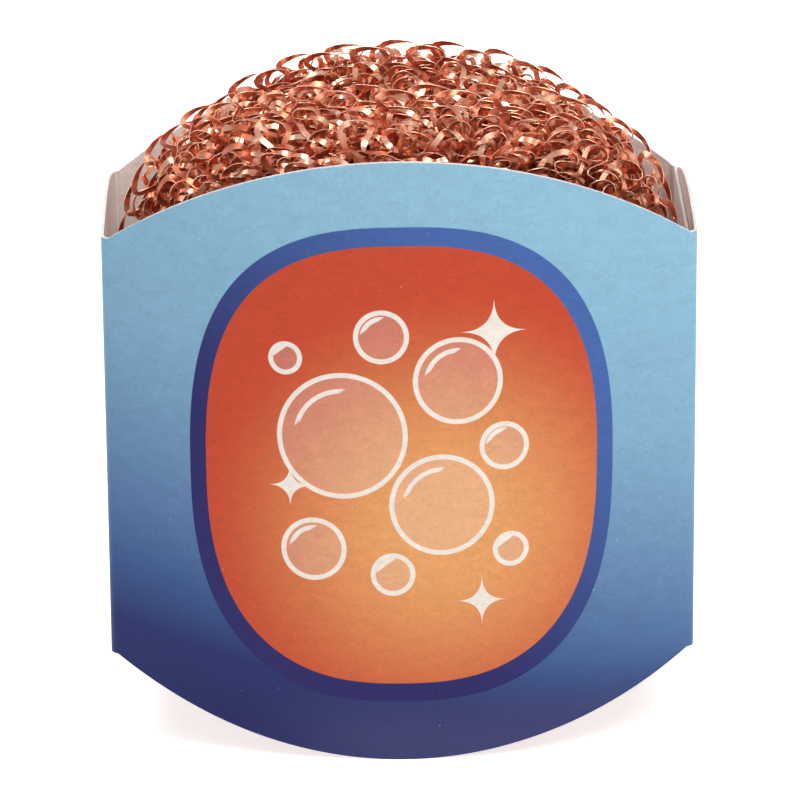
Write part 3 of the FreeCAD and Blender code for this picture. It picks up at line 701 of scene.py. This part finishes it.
class ScrubberForm:
    """The outer form of one scrubber, in the place that its solid knit has."""

    def __init__(self, body, fullness, lean, facing_back):
        low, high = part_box(f"{body}_knit")
        self.body, self.facing_back = body, facing_back
        self.half_width, self.half_height = high.x, (high.z - low.z) / 2
        self.middle = (high.z + low.z) / 2
        ovals = [round_pair(2 * math.pi * step / FORM_STEPS, fullness) for step in range(FORM_STEPS + 1)]
        self.outline = EvenLine(
            [Vector((x * self.half_width + lean * max(z, 0), 0, z * self.half_height)) for x, z in ovals]
        )
        self.section = EvenLine(self.section_points())
        self.girth, self.reach = self.outline.reaches[-1], self.section.reaches[-1]

    def section_points(self):
        """From the gathered middle of the face over the rim to the back: outwards, and through the depth."""
        start = RIM_START_SHARE * self.half_width
        points = [Vector((GATHER_SHARE * self.half_width, 0))]
        for step in range(FORM_STEPS + 1):
            depth, out = round_pair(math.pi * step / FORM_STEPS, RIM_POWER)
            points.append(Vector((start + (self.half_width - start) * abs(out), (1 - depth) / 2 * pad_depth)))
        return points + [Vector((GATHER_SHARE * self.half_width, pad_depth))]

    def girth_share(self, run):
        return self.section.at(run).x / self.half_width

    def point(self, turn, run):
        across = self.section.at(min(max(run, 0), 1))
        share = across.x / self.half_width
        edge = self.outline.at(turn % 1) * share
        pucker = PUCKER_DEPTH * math.exp(-((share / PUCKER_SHARE) ** 2))
        front, back = face_place(edge.x) + pucker, -PAD_GAP - pucker
        place = Vector((edge.x, front + (back - front) * across.y / pad_depth, self.middle + edge.z))
        return turn_round(place) if self.facing_back else place

    def ways(self, turn, run):
        """The ways round the form, across it and out of it, from short steps over it."""
        step = 1 / FORM_STEPS
        inner = min(max(run, step), 1 - step)
        around = (self.point(turn + step, inner) - self.point(turn - step, inner)).normalized()
        across = (self.point(turn, inner + step) - self.point(turn, inner - step)).normalized()
        return around, across, across.cross(around).normalized()

    def lift(self, run):
        """How far the form has turned from its flat face: a quarter turn on the crest of the rim."""
        step = 1 / FORM_STEPS
        across = self.section.at(run + step) - self.section.at(run - step)
        return math.atan2(abs(across.y), abs(across.x))


FRONT_FULLNESS, REAR_FULLNESS = 3.75, 2.45
FRONT_LEAN, REAR_LEAN = 0.0, -1.1 * MM
front_form = ScrubberForm("front_scrubber", FRONT_FULLNESS, FRONT_LEAN, False)
rear_form = ScrubberForm("rear_scrubber", REAR_FULLNESS, REAR_LEAN, True)
print("round the rims", front_form.girth, rear_form.girth, "from gather to gather", front_form.reach)

# %% [markdown]
# In a plain knit each loop rises into an arch, leans out at its shoulders, and dips behind the loop below.
# All the arches of a scrubber point to the crest of its rim: they lie on the faces, and stand up as small
# hoops on the crest. A flat ribbon bends only over its flat side, so it shows its edge round the head of an
# arch, and it twists in the legs, which show their flat side.
# Slow noise tugs the courses about and turns the loops, so that no two of them match, as in a real tangle.

# %% Shape of a loop
RIBBON_WIDTH = 0.9 * MM
RIBBON_THICKNESS = 0.09 * MM
LOOP_STEPS = 22
FEWEST_LOOPS = 7
LOOP_LEAN = 0.2
LOOP_HEIGHT, CREST_HEIGHT = 2.5 * MM, 2.0 * MM
LOOP_DIP = 0.5 * MM
LOOP_UNEVEN, LOOP_UNEVEN_SIZE = 0.4, 7 * MM
LEAN_BACK, LEAN_BACK_SIZE = math.radians(60), 7 * MM
CREST_RUN = 0.045
CREST_PROUD = 0.9 * MM
TUG, TUG_SIZE = 5 * MM, 16 * MM
SWIRL, SWIRL_SIZE = math.radians(95), 8 * MM
CRUMPLE, CRUMPLE_SIZE = 0.9 * MM, 6 * MM
FOLD_DEPTH, FOLD_SIZE = 2.2 * MM, 12 * MM
LEG_TWIST = math.radians(70)
TWIST, TWIST_SIZE = math.radians(80), 4.5 * MM
CREST_TILT = math.radians(-50)
QUARTER_TURN = math.pi / 2


def loop_point(form, turn, run, phase, pitch, depths, seed):
    """A point of a loop, the way across the loop's plane, and how far the ribbon is twisted there."""
    base = form.point(turn, run)
    to_crest = 1 if run < 0.5 else -1
    crest = math.exp(-(((run - 0.5) / CREST_RUN) ** 4))
    free = 1 - crest
    stand = form.lift(run) + LEAN_BACK * free * noise.noise(base / LEAN_BACK_SIZE - 4 * seed)
    stand = min(max(stand, 0), QUARTER_TURN)
    tug = noise.noise_vector(base / TUG_SIZE + seed) * TUG * free
    grown = 1 + LOOP_UNEVEN * noise.noise(base / LOOP_UNEVEN_SIZE - seed)
    swirl = SWIRL * noise.noise(base / SWIRL_SIZE + 5 * seed) * free
    along = grown * LOOP_LEAN * pitch * math.sin(2 * phase)
    height = grown * (LOOP_HEIGHT * free + CREST_HEIGHT * crest)
    rise = -height * math.cos(phase)
    over = to_crest * rise * math.cos(stand)
    aside = along * math.cos(swirl) - over * math.sin(swirl) + tug.x
    ahead = along * math.sin(swirl) + over * math.cos(swirl) + tug.y
    turn += aside / (form.girth * form.girth_share(run))
    run += ahead / form.reach
    place = form.point(turn, run)
    around, across, outwards = form.ways(turn, run)
    hoop = math.sin(stand) * (rise - height)
    dip = LOOP_DIP * math.cos(stand) * (math.cos(2 * phase) - 1)
    sink = FOLD_DEPTH * free * max(0, noise.noise(place / FOLD_SIZE + 2 * seed))
    sink += RIBBON_WIDTH / 2 * math.cos(stand) + CREST_PROUD * free * math.sin(stand)
    sink += depths[0] * free + depths[1] * crest
    crumple = noise.noise_vector(place / CRUMPLE_SIZE + 3 * seed) * CRUMPLE
    crumple -= outwards * crumple.dot(outwards)
    foot_way = around * math.cos(swirl) + across * math.sin(swirl)
    head_way = to_crest * math.cos(stand) * (across * math.cos(swirl) - around * math.sin(swirl))
    head_way += outwards * math.sin(stand)
    chance = TWIST * free * noise.noise(place / TWIST_SIZE - 2 * seed)
    tilt = CREST_TILT * crest * (-1 if form.facing_back else 1)
    place = place + crumple + outwards * (hoop + dip - sink)
    return place, foot_way.cross(head_way), LEG_TWIST * math.sin(phase) + chance + tilt


# %% Knit the courses
CREST_LOOPS = 36


def course_points(form, course, courses, loops, depths, seed):
    """One ring of loops, with as many as fit at its girth, and wider ones where they stand on the crest."""
    run = (course + 0.5) / courses
    if abs(run - 0.5) < CREST_RUN:
        loops = CREST_LOOPS
    count = max(FEWEST_LOOPS, round(loops * form.girth_share(run)))
    pitch = form.girth * form.girth_share(run) / count
    points = []
    for step in range(count * LOOP_STEPS):
        turn = (step / LOOP_STEPS + course / 2) / count
        phase = 2 * math.pi * step / LOOP_STEPS
        points.append(loop_point(form, turn, run, phase, pitch, depths, seed))
    return points


def knit_ring(bm, uv_layer, points):
    """A ring of ribbon: a circle is extruded to a band, and its two edges are laid along the points."""
    count = len(points)
    ring = bmesh.ops.create_circle(bm, segments=count, radius=1)["verts"]
    edges = list(dict.fromkeys(edge for vert in ring for edge in vert.link_edges))
    band = bmesh.ops.extrude_edge_only(bm, edges=edges)["geom"]
    steps = {vert: (step, 0) for step, vert in enumerate(ring)}
    for step, vert in enumerate(ring):
        other = next(e.other_vert(vert) for e in vert.link_edges if e.other_vert(vert) not in steps)
        steps[other] = (step, 1)
        place, side, twist = points[step]
        along = (points[(step + 1) % count][0] - points[step - 1][0]).normalized()
        side = (side - along * side.dot(along)).normalized()
        across = side * math.cos(twist) + side.cross(along) * math.sin(twist)
        vert.co = place - across * RIBBON_WIDTH / 2
        other.co = place + across * RIBBON_WIDTH / 2
    for face in (item for item in band if isinstance(item, bmesh.types.BMFace)):
        places = [steps[corner.vert] for corner in face.loops]
        wraps = max(place[0] for place in places) - min(place[0] for place in places) > 1
        for corner, (step, side) in zip(face.loops, places):
            run = count if wraps and step == 0 else step
            corner[uv_layer].uv = (run * RIBBON_WIDTH, side * RIBBON_WIDTH)


def knit_layer(form, label, courses, loops, depths, seed):
    """One layer of a scrubber's knit: course after course from its face to its back."""
    bm = bmesh.new()
    uv_layer = bm.loops.layers.uv.new("ribbon")
    offset = Vector((seed * 7.3, seed * 3.1, seed * 5.7))
    for course in range(courses):
        knit_ring(bm, uv_layer, course_points(form, course, courses, loops, depths, offset))
    layer = finish_sheet(bm, f"{form.body}_{label}_knit", [copper, copper, highlit_edges])
    thicken(layer, RIBBON_THICKNESS, 0)
    return layer


# %% [markdown]
# Rolled copper is bright where it is clean and browner where it has dulled. Both the ribbon and the packed
# core take their tarnish from one group, which puts out a mask for the colour and a roughness.

# %% Copper
BRIGHT_COPPER = screen_colour(250, 196, 168)
DULL_COPPER = screen_colour(212, 120, 90)
SHADED_CORE_COPPER = screen_colour(190, 90, 62)
CORE_SHADOW = screen_colour(146, 52, 32)
EDGE_HIGHLIGHT = screen_colour(255, 206, 178)
GRAZING_COPPER = screen_colour(255, 214, 190)


def make_tarnish_group():
    group, start, end = new_group(
        "copper_tarnish",
        {"Place": "NodeSocketVector", "Patch": "NodeSocketFloat"},
        {"Dull": "NodeSocketFloat", "Roughness": "NodeSocketFloat"},
    )
    place = start.outputs["Place"]
    patch = add_node(group, "ShaderNodeTexNoise", {"Vector": place, "Scale": start.outputs["Patch"]}).outputs["Fac"]
    dull = soft_step(group, patch, 0.35, 0.7)
    grain = speckle(group, place, 2600.0)
    rough = calc(group, "ADD", 0.21, calc(group, "MULTIPLY", dull, 0.12))
    rough = calc(group, "ADD", rough, calc(group, "MULTIPLY", grain, 0.1))
    group.links.new(dull, end.inputs["Dull"])
    group.links.new(rough, end.inputs["Roughness"])
    return group


tarnish_group = make_tarnish_group()


def ribbon_copper():
    material, tree, shader = new_material("ribbon_copper", metallic=1.0, specular_tint=GRAZING_COPPER)
    place = add_node(tree, "ShaderNodeTexCoord").outputs["Object"]
    tarnish = fill_group(tree, tarnish_group, {"Place": place, "Patch": 260.0}).outputs
    colour = blend_colour(tree, tarnish["Dull"], BRIGHT_COPPER, DULL_COPPER)
    tree.links.new(colour, shader.inputs["Base Color"])
    tree.links.new(tarnish["Roughness"], shader.inputs["Roughness"])
    # Rolling leaves fine lines along the ribbon
    uv = add_node(tree, "ShaderNodeUVMap", uv_map="ribbon").outputs[0]
    drawn = add_node(tree, "ShaderNodeMapping", {"Vector": uv, "Scale": (120.0, 9000.0, 1.0)}).outputs[0]
    bumped(tree, shader, speckle(tree, drawn, 1.0), 0.01 * MM, 0.35)
    return material


def shaded_core():
    material, tree, shader = new_material("shaded_core", metallic=1.0)
    place = add_node(tree, "ShaderNodeTexCoord").outputs["Object"]
    tarnish = fill_group(tree, tarnish_group, {"Place": place, "Patch": 400.0}).outputs
    cells = add_node(tree, "ShaderNodeTexVoronoi", {"Vector": place, "Scale": 420.0}, feature="DISTANCE_TO_EDGE")
    # Painted shade: the core's copper is darker than the ribbon's, and darker still in the hollows between the
    # raised cell edges
    shaded_hollow = soft_step(tree, cells.outputs["Distance"], 0.02, 0.3)
    colour = blend_colour(tree, shaded_hollow, SHADED_CORE_COPPER, CORE_SHADOW)
    tree.links.new(colour, shader.inputs["Base Color"])
    tree.links.new(tarnish["Roughness"], shader.inputs["Roughness"])
    bumped(tree, shader, calc(tree, "SUBTRACT", 1.0, shaded_hollow), 0.8 * MM)
    return material


def highlit_edge_copper():
    """The narrow cut edges of the ribbon, brighter than its faces: a painted highlight of the light that catches
    them.
    """
    material, tree, shader = new_material("highlit_edge_copper", metallic=1.0)
    place = add_node(tree, "ShaderNodeTexCoord").outputs["Object"]
    tarnish = fill_group(tree, tarnish_group, {"Place": place, "Patch": 260.0}).outputs
    # Painted highlight: the edges take paler copper than the ribbon's faces
    colour = blend_colour(tree, tarnish["Dull"], EDGE_HIGHLIGHT, BRIGHT_COPPER)
    tree.links.new(colour, shader.inputs["Base Color"])
    tree.links.new(calc(tree, "ADD", tarnish["Roughness"], 0.15), shader.inputs["Roughness"])
    return material


copper, highlit_edges, dark_copper = ribbon_copper(), highlit_edge_copper(), shaded_core()

# %% [markdown]
# The turns deep inside a scrubber never show singly. They are one crumpled core, a ball that is pushed out
# to the scrubber's form, well below the knit, and creased by noise. Its copper is darker than the ribbon's: painted
# shade of the deep tangle.

# %% Core
CORE_DEPTH = 7 * MM
CORE_POWER = 3.0
CORE_SUBDIVISIONS = 6
CORE_CREASE = 3 * MM
CORE_CREASE_SIZE = 6 * MM


def make_core(form, seed):
    bm = bmesh.new()
    bmesh.ops.create_icosphere(bm, subdivisions=CORE_SUBDIVISIONS, radius=1)
    offset = Vector((seed, 2 * seed, 3 * seed))
    for vert in bm.verts:
        way = vert.co.normalized()
        reach = sum(abs(part) ** CORE_POWER for part in way) ** (-1 / CORE_POWER)
        crease = 0.5 + 0.5 * noise.fractal(way * form.half_width / CORE_CREASE_SIZE + offset, 1.0, 2.0, 3)
        depth = CORE_DEPTH + CORE_CREASE * crease
        x = way.x * reach * (form.half_width - depth)
        z = way.z * reach * (form.half_height - depth)
        half_depth = (-PAD_GAP - face_place(x)) / 2
        y = face_place(x) + half_depth + way.y * reach * (half_depth - depth)
        place = Vector((x, y, form.middle + z))
        vert.co = turn_round(place) if form.facing_back else place
    return finish_sheet(bm, f"{form.body}_core", [dark_copper])


# %% Both scrubbers
# Each layer of knit has a depth on the faces, one under the crest of the rim, and a count of courses and loops
LAYERS = (
    ("outer", (0.0, 0.0), 24, 52),
    ("second", (1.2 * MM, 2.6 * MM), 24, 52),
    ("third", (2.6 * MM, 3.6 * MM), 24, 48),
    ("fourth", (4.2 * MM, 4.8 * MM), 22, 44),
    ("inner", (6.0 * MM, 6.2 * MM), 20, 40),
)


def make_scrubber(form, first_seed):
    core = make_core(form, first_seed)
    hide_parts(f"{form.body}_roll")
    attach(core, form.body)
    for number, (label, depths, courses, loops) in enumerate(LAYERS):
        layer = knit_layer(form, label, courses, loops, depths, first_seed + number)
        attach(layer, form.body)
        if number == 0:
            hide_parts(f"{form.body}_knit")
        print(layer.name, "faces", len(layer.data.polygons))


FRONT_SEED, REAR_SEED = 1, 11
make_scrubber(front_form, FRONT_SEED)
make_scrubber(rear_form, REAR_SEED)

# %% [markdown]
# A plain white floor and soft light from above and from the right, as in a product photograph.
# The floor glows a little for the camera alone, so that it reads as white paper and still takes a shadow.

# %% Floor
FLOOR_HALF = 3.0
FLOOR_GLOW = 0.7


def white_floor():
    material, tree, shader = new_material("white_floor", roughness=0.9, specular_ior_level=0.0)
    path = add_node(tree, "ShaderNodeLightPath").outputs
    seen = calc(tree, "MAXIMUM", path["Is Camera Ray"], path["Is Glossy Ray"])
    seen = calc(tree, "MAXIMUM", seen, path["Is Transmission Ray"])
    shader.inputs["Base Color"].default_value = (0.86, 0.86, 0.86, 1)
    shader.inputs["Emission Color"].default_value = (1, 1, 1, 1)
    tree.links.new(calc(tree, "MULTIPLY", seen, FLOOR_GLOW), shader.inputs["Emission Strength"])
    return material


def make_floor():
    bm = bmesh.new()
    bmesh.ops.create_grid(bm, x_segments=1, y_segments=1, size=FLOOR_HALF)
    floor = finish_sheet(bm, "floor", [white_floor()])


make_floor()

# %% Light
AMBIENT = 0.45
CEILING_SHADE = 0.75
WALL_TOP, CEILING_START = 0.05, 0.35


def light_world():
    """White all round for the camera, white walls and a dim ceiling in reflections, and an even dim light."""
    world = bpy.data.worlds.new("studio")
    bpy.context.scene.world = world
    world.use_nodes = True
    tree = world.node_tree
    path = add_node(tree, "ShaderNodeLightPath").outputs
    way = add_node(tree, "ShaderNodeTexCoord").outputs["Generated"]
    height = add_node(tree, "ShaderNodeSeparateXYZ", {0: way}).outputs[2]
    shade = calc(tree, "MULTIPLY", soft_step(tree, height, WALL_TOP, CEILING_START), CEILING_SHADE)
    reflected = calc(tree, "MAXIMUM", path["Is Glossy Ray"], path["Is Transmission Ray"])
    reflected = calc(tree, "MULTIPLY", reflected, calc(tree, "SUBTRACT", 1.0, shade))
    seen = calc(tree, "MAXIMUM", path["Is Camera Ray"], reflected)
    strength = calc(tree, "ADD", AMBIENT, calc(tree, "MULTIPLY", seen, 1 - AMBIENT))
    background = tree.nodes["Background"]
    background.inputs["Color"].default_value = (1, 1, 1, 1)
    tree.links.new(strength, background.inputs["Strength"])


def add_lamp(name, place, aim, size, power):
    lamp = bpy.data.lights.new(name, "AREA")
    lamp.shape = "DISK"
    lamp.size = size
    lamp.energy = power
    made = bpy.data.objects.new(name, lamp)
    made.location = place
    made.rotation_euler = (Vector(aim) - Vector(place)).to_track_quat("-Z", "Y").to_euler()
    bpy.context.scene.collection.objects.link(made)


light_world()
pack_middle = (0, 0, front_form.middle)
add_lamp("key_lamp", (0.36, -0.5, 0.95), pack_middle, 0.6, 4.9)
add_lamp("top_lamp", (0.25, -0.2, 1.05), pack_middle, 0.5, 3.0)
add_lamp("back_lamp", (-0.5, 0.4, 0.9), pack_middle, 0.5, 4.0)
bpy.context.scene.view_settings.view_transform = "Standard"
